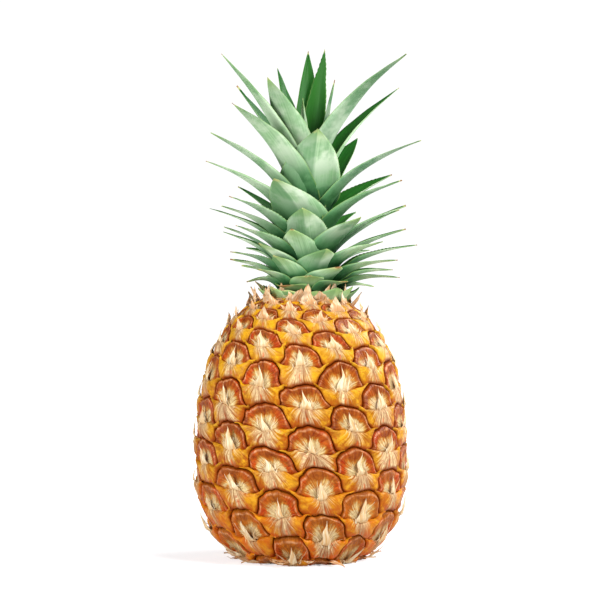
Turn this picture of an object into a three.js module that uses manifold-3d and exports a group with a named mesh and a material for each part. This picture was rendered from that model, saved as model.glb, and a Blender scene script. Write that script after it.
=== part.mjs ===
// A pineapple standing on its base: the fruit with its eyes, the crown's stem and its leaves.
// Millimetres, +Z up, -Y to the front. The origin is the middle of the flat spot that the fruit stands on.
import * as THREE from "three";
import { mergeVertices } from "three/addons/utils/BufferGeometryUtils.js";
import Module from "manifold-3d";

const wasm = await Module();
wasm.setup();

const DEG = Math.PI / 180;

// The fruit's outline is two superellipses that meet at its widest ring, and the floor cuts the lower one.
const FRUIT = {
  radius: 53.6,
  widestHeight: 47.5,
  topHeight: 137.4,
  footDepth: 6.5,
  dishHeight: 125,
  upperPowers: [2.6, 2.4],
  lowerPowers: [2.4, 2.1],
  tipRadius: 15,
};

// The eyes follow one spiral. Every 7th and every 8th eye are neighbours, and every 15th stands above
// the last.
const EYES = {
  turn: -48,
  perColumnStep: 15,
  anchorHeight: 83,
  pitch: 21.8,
  footPitch: 28.5,
  footPitchFrom: 43.5,
  footPitchTo: 15.5,
  shoulderFrom: 93.5,
  shoulderTo: 115.5,
  shoulderPitchShare: 0.42,
  twistBelow: 92.5,
  twistPerHeight: 0.2,
  twistAbove: 107.5,
  shoulderTwist: -0.5,
};

// One eye's outline, as steps of angle and of the spiral from its middle. Three eyes share each corner.
const CELL = { cornerAngle: 8.6, cornerStep: 6.6, topBulge: 1.4, sideBulge: [0.9, 0.7] };

// How far the forms of an eye stand out of the fruit, for an eye of the usual size.
const RELIEF = {
  groove: -1.3,
  rim: 1.0,
  bractEdge: 1.1,
  dish: 0.2,
  shoulder: 1.7,
  bract: 2.0,
  beak: 3.1,
  rimInset: 0.84,
  crownSpike: [2.5, 6],
  crownSpikeFrom: [117.5, 129],
  crownSpikeTo: [131.5, 134],
};

// The crown's stem is a short cone behind the leaves' bases, hollow in its outline, with a heel in the dish.
const STEM = {
  side: 3.5,
  heel: [
    [0, 129.5],
    [8.5, 136.4],
  ],
  foot: 137.5,
  height: 54,
  footRadius: 13.5,
  topRadius: 3.4,
  rings: 6,
  sides: 16,
};

// What all leaves have in common: how their roots climb the stem, and how their blades are curled. Where
// there are two values, the first is for the leaves at the sides and the back, and the second for the
// blunt ones at the front.
const LEAF = {
  rootClimb: 52,
  rootClimbSpan: 78,
  rootClimbPower: 1.8,
  sunk: 0.6,
  kneeAt: 0.4,
  channelShare: [0.9, 1.4],
  channelFrom: 0.4,
  baseShare: 0.6,
  fullFrom: 0.3,
  taperPower: [1.9, 3.2],
  frontAngles: [70, 30],
  baseThickness: 1.7,
  tipThickness: 1.0,
  longFrom: 50,
  frontSections: [0, 0.22, 0.48, 0.72, 0.9],
  longSections: [0, 0.16, 0.36, 0.58, 0.8],
  shortSections: [0, 0.22, 0.48, 0.75],
};

// Each leaf: compass angle from the front (degrees, right is positive), reach of its tip from the stem,
// height of its tip, width, bow of its midline as a share of its length, and bend of its tip,
// anticlockwise from above. They run from the lowest to the highest.
const LEAVES = [
  { angle: 110, reach: 38, tip: 141, width: 11, bow: 0.1, bend: 2 },
  { angle: -32, reach: 21, tip: 142.5, width: 21, bow: 0.1, bend: -3 },
  { angle: 158, reach: 34, tip: 142.5, width: 17, bow: 0.16, bend: 0 },
  { angle: -82, reach: 32, tip: 144, width: 14, bow: 0.2, bend: 0 },
  { angle: 42, reach: 27, tip: 144.5, width: 19, bow: 0.1, bend: 3 },
  { angle: -140, reach: 36, tip: 144.5, width: 17, bow: 0.16, bend: 0 },
  { angle: 86, reach: 48, tip: 146, width: 13, bow: 0.1, bend: 0 },
  { angle: 3, reach: 20.5, tip: 148, width: 22, bow: 0.1, bend: 0 },
  { angle: 116, reach: 50, tip: 149.5, width: 12, bow: 0.1, bend: 0 },
  { angle: 178, reach: 42, tip: 150.5, width: 19, bow: 0.15, bend: 0 },
  { angle: -62, reach: 30, tip: 151, width: 17, bow: 0.12, bend: 0 },
  { angle: -106, reach: 36, tip: 152, width: 12, bow: 0.12, bend: 0 },
  { angle: 26, reach: 24, tip: 152.5, width: 21, bow: 0.08, bend: 7 },
  { angle: 71, reach: 49, tip: 155.5, width: 17, bow: 0.1, bend: 0 },
  { angle: -92, reach: 40.5, tip: 155.5, width: 12, bow: 0.11, bend: 0 },
  { angle: -38, reach: 25, tip: 158, width: 21, bow: 0.08, bend: -3 },
  { angle: -75, reach: 41.5, tip: 159.5, width: 16, bow: 0.12, bend: 0 },
  { angle: 138, reach: 50, tip: 159.5, width: 18, bow: 0.12, bend: 0 },
  { angle: -136, reach: 47, tip: 160.5, width: 18, bow: 0.12, bend: 0 },
  { angle: 14, reach: 24, tip: 161.5, width: 25, bow: 0.08, bend: 4 },
  { angle: 99, reach: 58, tip: 163, width: 12, bow: 0.08, bend: 0 },
  { angle: -52, reach: 31, tip: 164.5, width: 21, bow: 0.08, bend: -1 },
  { angle: 61, reach: 44, tip: 165, width: 20, bow: 0.11, bend: 0 },
  { angle: -106, reach: 46, tip: 169.5, width: 13, bow: 0.08, bend: 0 },
  { angle: -170, reach: 50, tip: 169.5, width: 19, bow: 0.12, bend: 0 },
  { angle: 84, reach: 51, tip: 171.5, width: 14, bow: 0.08, bend: 0 },
  { angle: -14, reach: 24, tip: 172, width: 24, bow: 0.08, bend: -2.5 },
  { angle: -89, reach: 43.5, tip: 172.5, width: 13, bow: 0.09, bend: 0 },
  { angle: -57, reach: 44, tip: 173.5, width: 20, bow: 0.12, bend: 0 },
  { angle: 44, reach: 36, tip: 178, width: 24, bow: 0.09, bend: 3 },
  { angle: 150, reach: 52, tip: 179.5, width: 19, bow: 0.12, bend: 0 },
  { angle: 112, reach: 52, tip: 181, width: 15, bow: 0.07, bend: 0 },
  { angle: -97, reach: 51.5, tip: 182, width: 16, bow: 0.1, bend: 0 },
  { angle: -3, reach: 24, tip: 182.5, width: 27, bow: 0.09, bend: -1.5 },
  { angle: 90, reach: 51, tip: 183.5, width: 16, bow: 0.08, bend: 0 },
  { angle: -75, reach: 46, tip: 183.5, width: 18, bow: 0.12, bend: 0 },
  { angle: -61, reach: 46, tip: 188.5, width: 20, bow: 0.13, bend: 0 },
  { angle: -125, reach: 45, tip: 193, width: 17, bow: 0.1, bend: 0 },
  { angle: 70, reach: 51.5, tip: 196.5, width: 21, bow: 0.12, bend: 0 },
  { angle: -3, reach: 25, tip: 197.5, width: 33, bow: 0.1, bend: -16 },
  { angle: 124, reach: 54, tip: 199.5, width: 28, bow: 0.1, bend: 0 },
  { angle: 178, reach: 48, tip: 201.5, width: 20, bow: 0.12, bend: 0 },
  { angle: -74, reach: 54.5, tip: 206.5, width: 21, bow: 0.11, bend: 0 },
  { angle: 76, reach: 60, tip: 217, width: 19, bow: 0.12, bend: 0 },
  { angle: 140, reach: 45, tip: 219, width: 33, bow: 0.08, bend: 3 },
  { angle: -70, reach: 53, tip: 221, width: 21, bow: 0.11, bend: 0 },
  { angle: 8, reach: 22, tip: 223, width: 38, bow: 0.08, bend: 2 },
  { angle: -160, reach: 42, tip: 225.5, width: 20, bow: 0.1, bend: 0 },
  { angle: -52, reach: 49, tip: 236, width: 26, bow: 0.12, bend: 0 },
  { angle: -30, reach: 5, tip: 239, width: 9, bow: 0.02, bend: 0 },
  { angle: -140, reach: 30, tip: 239.5, width: 15, bow: 0.07, bend: 0 },
  { angle: 130, reach: 17, tip: 242, width: 15, bow: 0.04, bend: 0 },
  { angle: 117, reach: 54, tip: 245.5, width: 22, bow: 0.1, bend: 0 },
  { angle: -112, reach: 40, tip: 246, width: 24, bow: 0.07, bend: 0 },
  { angle: 72, reach: 14, tip: 248.5, width: 9, bow: 0.05, bend: 3 },
  { angle: -40, reach: 31, tip: 249, width: 28, bow: 0.09, bend: -1 },
  { angle: -142, reach: 26, tip: 255.5, width: 18, bow: 0.05, bend: 0 },
  { angle: 58, reach: 59, tip: 260.5, width: 23, bow: 0.13, bend: 0 },
  { angle: -62, reach: 50, tip: 261, width: 20, bow: 0.08, bend: 0 },
  { angle: -174, reach: 25, tip: 265, width: 22, bow: 0.05, bend: -3 },
  { angle: 150, reach: 18, tip: 265.5, width: 21, bow: 0.04, bend: 0 },
];

const MATERIALS = {
  fruit: new THREE.MeshStandardMaterial({ color: 0xd28a2c, roughness: 0.55, metalness: 0 }),
  crown: new THREE.MeshStandardMaterial({ color: 0x6f9f70, roughness: 0.5, metalness: 0 }),
};

const smooth = (from, to, x) => {
  const t = Math.min(1, Math.max(0, (x - from) / (to - from)));
  return t * t * (3 - 2 * t);
};
const mix = (a, b, t) => a + (b - a) * t;
const fromZeroToOne = (index) => Math.abs(Math.sin(index * 12.9898) * 43758.5453) % 1;

// A closed indexed mesh as a solid.
function solidOf(points, triangles) {
  const vertProperties = new Float32Array(points.flat());
  const triVerts = new Uint32Array(triangles.flat());
  return new wasm.Manifold(new wasm.Mesh({ numProp: 3, vertProperties, triVerts }));
}

// A three.js geometry that is closed, as a solid.
function solidOfGeometry(geometry) {
  geometry.deleteAttribute("normal");
  geometry.deleteAttribute("uv");
  const merged = mergeVertices(geometry, 1e-3);
  return new wasm.Manifold(
    new wasm.Mesh({
      numProp: 3,
      vertProperties: merged.attributes.position.array,
      triVerts: new Uint32Array(merged.index.array),
    }),
  );
}

function geometryOf(solid) {
  const made = solid.getMesh();
  const geometry = new THREE.BufferGeometry();
  geometry.setAttribute("position", new THREE.BufferAttribute(made.vertProperties, 3));
  geometry.setIndex(new THREE.BufferAttribute(made.triVerts, 1));
  return geometry;
}

function meshOf(name, solid, material) {
  const geometry = geometryOf(solid);
  geometry.computeVertexNormals();
  const mesh = new THREE.Mesh(geometry, material);
  mesh.name = name;
  return mesh;
}

// The outline's radius and height at a parameter from -90 degrees, its foot, to 90 degrees, its top.
function outlinePoint(parameter) {
  const upper = parameter >= 0;
  const [across, along] = upper ? FRUIT.upperPowers : FRUIT.lowerPowers;
  const rise = upper ? FRUIT.topHeight - FRUIT.widestHeight : -(FRUIT.widestHeight + FRUIT.footDepth);
  return [
    FRUIT.radius * Math.cos(parameter) ** (2 / across),
    FRUIT.widestHeight + rise * Math.abs(Math.sin(parameter)) ** (2 / along),
  ];
}

// How far apart two eyes of one column are, along the outline.
function pitchAt(radius, height) {
  const low = smooth(EYES.footPitchFrom, EYES.footPitchTo, height);
  const high = smooth(EYES.shoulderFrom, EYES.shoulderTo, height);
  return mix(mix(EYES.pitch, EYES.footPitch, low), EYES.shoulderPitchShare * radius, high);
}

// The outline as a list of stations: radius, height, the way out of the skin, and the spiral's count there.
function makeStations() {
  const count = 900;
  const last = 89.9 * DEG;
  const stations = [];
  for (let i = 0; i <= count; i++) {
    const [radius, height] = outlinePoint(mix(-last, last, i / count));
    stations.push({ radius, height, step: 0 });
  }
  for (let i = 1; i < stations.length; i++) {
    const [a, b] = [stations[i - 1], stations[i]];
    const length = Math.hypot(b.radius - a.radius, b.height - a.height);
    const pitch = pitchAt((a.radius + b.radius) / 2, (a.height + b.height) / 2);
    b.step = a.step + (EYES.perColumnStep * length) / pitch;
    b.pitch = pitch;
  }
  stations[0].pitch = stations[1].pitch;
  const anchor = stations.find((s) => s.height >= EYES.anchorHeight).step;
  stations.forEach((s, i) => {
    const [a, b] = [stations[Math.max(i - 1, 0)], stations[Math.min(i + 1, count)]];
    const length = Math.hypot(b.radius - a.radius, b.height - a.height);
    s.out = [(b.height - a.height) / length, -(b.radius - a.radius) / length];
    s.step -= anchor;
  });
  return stations;
}

const stations = makeStations();

function stationAt(step) {
  let [low, high] = [0, stations.length - 1];
  while (high - low > 1) {
    const middle = (low + high) >> 1;
    if (stations[middle].step > step) high = middle;
    else low = middle;
  }
  const [a, b] = [stations[low], stations[high]];
  const t = Math.min(1, Math.max(0, (step - a.step) / (b.step - a.step)));
  return {
    radius: mix(a.radius, b.radius, t),
    height: mix(a.height, b.height, t),
    out: [mix(a.out[0], b.out[0], t), mix(a.out[1], b.out[1], t)],
    pitch: mix(a.pitch, b.pitch, t),
  };
}

// The slow turn of the columns round the fruit, low down and at its shoulder.
function twistAt(height) {
  const low = EYES.twistPerHeight * Math.max(0, EYES.twistBelow - height);
  return low + EYES.shoulderTwist * Math.max(0, height - EYES.twistAbove);
}

// A point of the skin, from its angle in the untwisted pattern, its place on the spiral and its relief.
function skinPoint(angle, step, relief, spike = 0) {
  const at = stationAt(step);
  const turn = (angle + twistAt(at.height)) * DEG;
  const raised = relief * Math.min(1.15, at.pitch / EYES.pitch) + spike;
  const radius = at.radius + raised * at.out[0];
  return [radius * Math.sin(turn), -radius * Math.cos(turn), at.height + raised * at.out[1]];
}

// The outline of an eye: its six corners and the six points between them, from its right horn,
// anticlockwise. Its neighbours stand half a column to the right and 7 steps up, and half a column to the
// left and 8 steps up.
const { cornerAngle, cornerStep, topBulge, sideBulge } = CELL;
const column = -EYES.turn / 2;
const rightHorn = [column - cornerAngle, cornerStep - 8];
const leftHorn = [cornerAngle - column, cornerStep - 7];
const sideOf = ([angle, step], way) => [
  (angle + way * cornerAngle) / 2 + way * sideBulge[0],
  (step + cornerStep) / 2 + sideBulge[1],
];
const sideRight = sideOf(rightHorn, 1);
const sideLeft = sideOf(leftHorn, -1);
const CELL_OUTLINE = [
  rightHorn,
  sideRight,
  [cornerAngle, cornerStep],
  [0, cornerStep + topBulge],
  [-cornerAngle, cornerStep],
  sideLeft,
  leftHorn,
  [sideRight[0] - column, sideRight[1] - 7],
  [-cornerAngle, cornerStep - EYES.perColumnStep],
  [0, cornerStep + topBulge - EYES.perColumnStep],
  [cornerAngle, cornerStep - EYES.perColumnStep],
  [sideLeft[0] + column, sideLeft[1] - 8],
];

// Inside an eye: the two dished halves of its disc, the beak's tip, its shoulders and its bract's middle.
const INNER = {
  dishRight: [5.2, 2.6, RELIEF.dish],
  dishLeft: [-5.2, 2.6, RELIEF.dish],
  beak: [0, 4.4, RELIEF.beak],
  shoulderRight: [2.8, -1.6, RELIEF.shoulder],
  shoulderLeft: [-2.8, -1.6, RELIEF.shoulder],
  bract: [0, -4.2, RELIEF.bract],
};
const RIM = 12;
const [DISH_R, DISH_L, BEAK, SHOULDER_R, SHOULDER_L, BRACT] = [24, 25, 26, 27, 28, 29];
const EYE_TRIANGLES = [
  [RIM, RIM + 1, DISH_R],
  [RIM + 1, RIM + 2, DISH_R],
  [RIM + 2, RIM + 3, DISH_R],
  [RIM + 3, BEAK, DISH_R],
  [BEAK, SHOULDER_R, DISH_R],
  [DISH_R, SHOULDER_R, RIM],
  [SHOULDER_R, RIM + 11, RIM],
  [SHOULDER_R, BRACT, RIM + 11],
  [RIM + 3, RIM + 4, DISH_L],
  [RIM + 4, RIM + 5, DISH_L],
  [RIM + 5, RIM + 6, DISH_L],
  [RIM + 3, DISH_L, BEAK],
  [BEAK, DISH_L, SHOULDER_L],
  [DISH_L, RIM + 6, SHOULDER_L],
  [SHOULDER_L, RIM + 6, RIM + 7],
  [SHOULDER_L, RIM + 7, BRACT],
  [BRACT, RIM + 7, RIM + 8],
  [BRACT, RIM + 8, RIM + 9],
  [BRACT, RIM + 9, RIM + 10],
  [BRACT, RIM + 10, RIM + 11],
  [BEAK, SHOULDER_L, BRACT],
  [BEAK, BRACT, SHOULDER_R],
];

// One eye's points and triangles. Its outline's points come out the same from each eye that shares them.
function addEye(index, points, triangles) {
  const angle = EYES.turn * index;
  const place = ([across, up], relief, share = 1) =>
    skinPoint(angle + across * share, index + up * share, relief);
  const first = points.length;
  CELL_OUTLINE.forEach((p) => points.push(place(p, RELIEF.groove)));
  CELL_OUTLINE.forEach((p, i) => {
    const relief = i <= 6 ? RELIEF.rim : RELIEF.bractEdge;
    points.push(place(p, relief, RELIEF.rimInset));
  });
  const [least, most] = RELIEF.crownSpike;
  const height = stationAt(index).height;
  const share = smooth(...RELIEF.crownSpikeFrom, height) * (1 - smooth(...RELIEF.crownSpikeTo, height));
  const spike = share * mix(least, most, fromZeroToOne(index));
  for (const [name, [across, up, relief]] of Object.entries(INNER))
    points.push(skinPoint(angle + across, index + up, relief, name === "beak" ? spike : 0));
  for (let i = 0; i < 12; i++) {
    const next = (i + 1) % 12;
    const [outer, inner] = [first + i, first + RIM + i];
    triangles.push([outer, first + next, first + RIM + next], [outer, first + RIM + next, inner]);
  }
  EYE_TRIANGLES.forEach((t) => triangles.push(t.map((i) => first + i)));
}

// Joins the points that lie in one place, so that neighbouring eyes share their outlines.
function weld(points, triangles) {
  const kept = new Map();
  const places = [];
  const index = points.map((p) => {
    const key = p.map((x) => Math.round(x * 1000)).join();
    if (!kept.has(key)) {
      kept.set(key, places.length);
      places.push(p);
    }
    return kept.get(key);
  });
  const joined = triangles.map((t) => t.map((i) => index[i]));
  return [places, joined.filter(([a, b, c]) => a !== b && b !== c && c !== a)];
}

// Closes each open edge loop of the skin with a fan to a point on the axis. The upper one makes a
// shallow dish.
function closeEnds(points, triangles) {
  const edges = new Map();
  for (const [a, b, c] of triangles)
    for (const [p, q] of [[a, b], [b, c], [c, a]]) edges.set(p + "," + q, [p, q]);
  const open = [...edges.values()].filter(([p, q]) => !edges.has(q + "," + p));
  const centres = [-FRUIT.footDepth, FRUIT.dishHeight].map((height) => points.push([0, 0, height]) - 1);
  open.forEach(([p, q]) => triangles.push([q, p, centres[points[p][2] > FRUIT.widestHeight ? 1 : 0]]));
}

function makeFruit() {
  const points = [];
  const triangles = [];
  const inRange = (index) => {
    const at = stationAt(index);
    return at.height > FRUIT.widestHeight ? at.radius > FRUIT.tipRadius : at.radius > FRUIT.tipRadius / 2;
  };
  for (let index = -150; index < 200; index++) if (inRange(index)) addEye(index, points, triangles);
  const [places, faces] = weld(points, triangles);
  closeEnds(places, faces);
  const whole = solidOf(places, faces);
  const size = FRUIT.radius * 4;
  const below = solidOfGeometry(new THREE.BoxGeometry(size, size, size).translate(0, 0, -size / 2));
  return whole.subtract(below);
}

function stemRadius(height) {
  const share = Math.min(1, Math.max(0, (height - STEM.foot) / STEM.height));
  return mix(STEM.topRadius, STEM.footRadius, (1 - share) ** 2);
}

function makeStem() {
  const profile = STEM.heel.map(([radius, height]) => new THREE.Vector2(radius, height));
  for (let ring = 0; ring <= STEM.rings; ring++) {
    const height = STEM.foot + (STEM.height * ring) / STEM.rings;
    profile.push(new THREE.Vector2(stemRadius(height), height));
  }
  profile.push(new THREE.Vector2(0, STEM.foot + STEM.height + STEM.topRadius));
  const geometry = new THREE.LatheGeometry(profile, STEM.sides);
  geometry.rotateX(Math.PI / 2).translate(STEM.side, 0, 0);
  return solidOfGeometry(geometry);
}

// A leaf's midline: a curve from its root on the stem to its tip, in the upright plane of its compass angle.
function leafLine(leaf) {
  const rise = Math.max(leaf.tip - STEM.foot, 0);
  const climb = LEAF.rootClimb * (1 - Math.exp(-((rise / LEAF.rootClimbSpan) ** LEAF.rootClimbPower)));
  const rootHeight = STEM.foot + 0.8 + climb;
  const root = new THREE.Vector2(stemRadius(rootHeight) - LEAF.sunk, rootHeight);
  const tip = new THREE.Vector2(leaf.reach, leaf.tip);
  const chord = tip.clone().sub(root);
  const side = new THREE.Vector2(-chord.y, chord.x).multiplyScalar(2 * leaf.bow);
  const knee = root.clone().addScaledVector(chord, LEAF.kneeAt).add(side);
  knee.x = Math.max(knee.x, root.x + 0.3);
  return new THREE.QuadraticBezierCurve(root, knee, tip);
}

// A leaf as a closed blade, curled round the stem at its root and along its length further out.
function leafSolid(leaf) {
  const line = leafLine(leaf);
  const turn = leaf.angle * DEG;
  const outward = new THREE.Vector3(Math.sin(turn), -Math.cos(turn), 0);
  const across = new THREE.Vector3(Math.cos(turn), Math.sin(turn), 0);
  const up = new THREE.Vector3(0, 0, 1);
  const place = (t) => {
    const p = line.getPoint(t);
    const sideways = leaf.bend * t * t;
    return outward.clone().multiplyScalar(p.x).addScaledVector(across, sideways).addScaledVector(up, p.y);
  };
  const front = smooth(...LEAF.frontAngles, Math.abs(leaf.angle));
  const otherSections = line.getLength() > LEAF.longFrom ? LEAF.longSections : LEAF.shortSections;
  const sections = front > 0.5 ? LEAF.frontSections : otherSections;
  const rows = sections.map((t) => {
    const centre = place(t);
    const along = place(Math.min(1, t + 0.01)).sub(place(Math.max(0, t - 0.01))).normalize();
    const inward = along.clone().cross(across).normalize();
    const full = mix(LEAF.baseShare, 1, smooth(0, LEAF.fullFrom, t));
    const half = (leaf.width / 2) * full * (1 - t ** mix(...LEAF.taperPower, front)) ** 0.95;
    const channel = (mix(...LEAF.channelShare, front) * leaf.width) / 2;
    const curl = Math.max(mix(line.getPoint(0).x, channel, smooth(0, LEAF.channelFrom, t)), half / 1.35);
    const thickness = mix(LEAF.baseThickness, LEAF.tipThickness, t);
    const point = (share, face) => {
      const bowed = (share * half) / curl;
      const radius = curl - (face * (1 - 0.7 * share * share) * thickness) / 2;
      const lift = curl - radius * Math.cos(bowed);
      return centre.clone().addScaledVector(across, radius * Math.sin(bowed)).addScaledVector(inward, lift);
    };
    const outer = [-0.5, 0, 0.5].map((share) => point(share, -1));
    const inner = [0.5, 0, -0.5].map((share) => point(share, 1));
    return [point(-1, 0), ...outer, point(1, 0), ...inner];
  });
  const points = rows.flat();
  const around = rows[0].length;
  const tip = points.push(place(1)) - 1;
  const triangles = [];
  for (let row = 0; row < rows.length; row++)
    for (let i = 0; i < around; i++) {
      const [a, b] = [row * around + i, row * around + ((i + 1) % around)];
      if (row === rows.length - 1) triangles.push([a, b, tip]);
      else triangles.push([a, b, b + around], [a, b + around, a + around]);
    }
  for (let i = 1; i < around - 1; i++) triangles.push([0, i + 1, i]);
  return solidOf(points.map((p) => [p.x + STEM.side, p.y, p.z]), triangles);
}

// The stem with its leaves grown into it.
function makeCrown() {
  const grown = LEAVES.reduce((crown, leaf) => crown.add(leafSolid(leaf)), makeStem());
  const bodies = solidOfGeometry(geometryOf(grown)).decompose();
  return bodies.sort((a, b) => b.volume() - a.volume())[0];
}

const pineapple = new THREE.Group();
pineapple.add(meshOf("fruit", makeFruit(), MATERIALS.fruit));
pineapple.add(meshOf("crown", makeCrown(), MATERIALS.crown));

export default pineapple;
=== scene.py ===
"""A fresh pineapple standing on its base: the eyes of its rind, their dry beaks, and the leaves of its crown.

The shapes are in millimetres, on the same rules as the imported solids, and are scaled to metres when a mesh is made.
"""

import math

import bpy
import numpy as np
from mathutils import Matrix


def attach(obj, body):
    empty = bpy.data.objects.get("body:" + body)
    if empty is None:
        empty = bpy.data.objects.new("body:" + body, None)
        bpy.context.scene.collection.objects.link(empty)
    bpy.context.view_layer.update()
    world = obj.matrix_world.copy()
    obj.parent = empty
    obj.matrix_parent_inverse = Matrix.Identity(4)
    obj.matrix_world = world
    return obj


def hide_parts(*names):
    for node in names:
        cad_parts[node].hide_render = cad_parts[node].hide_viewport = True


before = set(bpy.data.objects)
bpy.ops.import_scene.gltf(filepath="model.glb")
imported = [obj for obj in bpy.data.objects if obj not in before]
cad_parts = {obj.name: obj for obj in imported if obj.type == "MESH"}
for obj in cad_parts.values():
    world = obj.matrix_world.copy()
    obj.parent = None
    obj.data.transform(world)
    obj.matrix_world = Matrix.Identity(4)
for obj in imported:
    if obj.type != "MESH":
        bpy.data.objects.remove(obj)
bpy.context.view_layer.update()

MM = 0.001


def smooth(low, high, x):
    t = np.clip((x - low) / (high - low), 0.0, 1.0)
    return t * t * (3 - 2 * t)


def mix(a, b, t):
    return a + (b - a) * t


def hashed(i, j, seed):
    """A number from 0 to 1 for each whole-numbered place."""
    value = np.sin(i * 127.1 + j * 311.7 + seed * 74.7) * 43758.5453
    return value - np.floor(value)


def lumps(x, y, seed):
    """Smooth random relief from -1 to 1, with lumps about one unit wide."""
    i, j = np.floor(x), np.floor(y)
    u, v = smooth(0, 1, x - i), smooth(0, 1, y - j)
    low = mix(hashed(i, j, seed), hashed(i + 1, j, seed), u)
    high = mix(hashed(i, j + 1, seed), hashed(i + 1, j + 1, seed), u)
    return 2 * mix(low, high, v) - 1


# The fruit's outline and the spiral of its eyes

RADIUS, WIDEST, TOP, FOOT_DEPTH = 53.6, 47.5, 137.4, 6.5
PITCH, STEPS_UP, COLUMN = 21.8, 15, 24.0
DEGREE_MM = 0.9355
STEP_MM = PITCH / STEPS_UP


def pitch_at(radius, height):
    low = smooth(43.5, 15.5, height)
    high = smooth(93.5, 115.5, height)
    return mix(mix(PITCH, 28.5, low), 0.42 * radius, high)


def outline_stations():
    parameter = np.radians(np.linspace(-89.9, 89.9, 901))
    upper = parameter >= 0
    across = np.where(upper, 2.6, 2.4)
    along = np.where(upper, 2.4, 2.1)
    rise = np.where(upper, TOP - WIDEST, -(WIDEST + FOOT_DEPTH))
    radius = RADIUS * np.cos(parameter) ** (2 / across)
    height = WIDEST + rise * np.abs(np.sin(parameter)) ** (2 / along)
    length = np.hypot(np.diff(radius), np.diff(height))
    pitch = pitch_at((radius[1:] + radius[:-1]) / 2, (height[1:] + height[:-1]) / 2)
    step = np.concatenate([[0], np.cumsum(STEPS_UP * length / pitch)])
    step -= step[np.argmax(height >= 83)]
    run, climb = np.gradient(radius), np.gradient(height)
    size = np.hypot(run, climb)
    return {
        "step": step,
        "radius": radius,
        "height": height,
        "out_r": climb / size,
        "out_z": -run / size,
        "pitch": np.concatenate([pitch[:1], pitch]),
    }


STATIONS = outline_stations()


def station(name, step):
    return np.interp(step, STATIONS["step"], STATIONS[name])


def twist_at(height):
    return 0.2 * np.maximum(0, 92.5 - height) - 0.5 * np.maximum(0, height - 107.5)


def shifts(turn, height, size, phase):
    """Smooth sideways shifts from -1 to 1 over the skin, whose waves are about size millimetres long."""
    x, y, z = RADIUS * np.sin(turn) / size, RADIUS * np.cos(turn) / size, height / size
    first = np.sin(5.1 * x + 3.3 * z + phase) + np.sin(4.3 * y - 4.7 * z + 2 * phase)
    return (first + np.sin(6.7 * (x + y) + 5.9 * z + 3 * phase)) / 3


def skin_place(angle, step, relief, lift=0.0):
    """A point over the skin, from its angle in the pattern, its place on the spiral and its height over the outline."""
    height = station("height", step)
    turn = np.radians(angle + twist_at(height))
    angle = angle + 1.7 * shifts(turn, height, 24.0, 0.7) + 0.6 * shifts(turn, height, 7.0, 2.9)
    step = step + 0.9 * shifts(turn, height, 21.0, 4.1) + 0.42 * shifts(turn, height, 6.0, 1.3)
    height = station("height", step)
    turn = np.radians(angle + twist_at(height))
    raised = relief * np.minimum(1.15, station("pitch", step) / PITCH) + lift
    radius = station("radius", step) + raised * station("out_r", step)
    return np.stack(
        [radius * np.sin(turn), -radius * np.cos(turn), height + raised * station("out_z", step)], axis=-1
    )


def eye_ages(shape):
    """For each point of every eye: how near the eye is to the base, how near to the shoulder, and a random share."""
    height = station("height", EYES)
    ages = np.stack([smooth(66, 8, height), smooth(84, 118, height), EYE_DRAWS[:, 7]], axis=-1)
    return np.broadcast_to(ages[:, None, None, :], shape + (3,))


def eye_numbers():
    numbers = np.arange(-150, 200)
    height, radius = station("height", numbers), station("radius", numbers)
    return numbers[np.where(height > WIDEST, radius > 15, radius > 7.5)]


EYES = eye_numbers().astype(float)
rng = np.random.default_rng(11)
EYE_SEED = rng.uniform(0, 50, len(EYES))
EYE_DRAWS = rng.uniform(0, 1, (len(EYES), 8))


def arc(start, middle, end, count):
    """Points of the parabola through three points."""
    s = np.linspace(0, 1, count + 1)[:, None]
    start, middle, end = (np.array(p, float) for p in (start, middle, end))
    return start * (1 - s) * (1 - 2 * s) + middle * 4 * s * (1 - s) + end * s * (2 * s - 1)


CORNER, CORNER_STEP, TOP_BULGE = 8.6, 6.6, 1.4
RIGHT_HORN = (COLUMN - CORNER, CORNER_STEP - 8)
LEFT_HORN = (CORNER - COLUMN, CORNER_STEP - 7)
SIDE_SWAY = np.array([0.8, 0.4])
HEART = np.array([0.0, -1.7])


def side_line(horn, corner, count):
    """The side of an eye, from its horn to its upper corner: drawn in near the horn, and full near the corner."""
    s = np.linspace(0, 1, count + 1)[:, None]
    way = np.array([math.copysign(1, horn[0]), 1.0])
    return mix(np.array(horn), np.array(corner), s) - SIDE_SWAY * way * np.sin(2 * math.pi * s)


def disc_arch(count):
    """The upper border of an eye, from its right horn over the top to its left horn."""
    parts = [
        side_line(RIGHT_HORN, (CORNER, CORNER_STEP), count),
        arc((CORNER, CORNER_STEP), (0, CORNER_STEP + TOP_BULGE), (-CORNER, CORNER_STEP), count),
        side_line(LEFT_HORN, (-CORNER, CORNER_STEP), count)[::-1],
    ]
    return np.concatenate([parts[0], parts[1][1:], parts[2][1:]])


def bract_hem(count):
    """The lower border of an eye, from its left horn to its right horn."""
    low = CORNER_STEP - STEPS_UP
    parts = [
        side_line(RIGHT_HORN, (CORNER, CORNER_STEP), count)[::-1] - (COLUMN, 7),
        arc((-CORNER, low), (0, low + TOP_BULGE), (CORNER, low), count),
        side_line(LEFT_HORN, (-CORNER, CORNER_STEP), count) + (COLUMN, -8),
    ]
    return np.concatenate([parts[0], parts[1][1:], parts[2][1:]])


# Meshes


def grid_faces(rows, columns, first=0, closed=False):
    """Quads of a grid of points, whose first index is that of its first point."""
    i, j = np.meshgrid(np.arange(rows - 1), np.arange(columns if closed else columns - 1), indexing="ij")
    k = (j + 1) % columns
    quads = np.stack([i * columns + j, i * columns + k, (i + 1) * columns + k, (i + 1) * columns + j], axis=-1)
    return quads.reshape(-1, 4) + first


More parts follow.
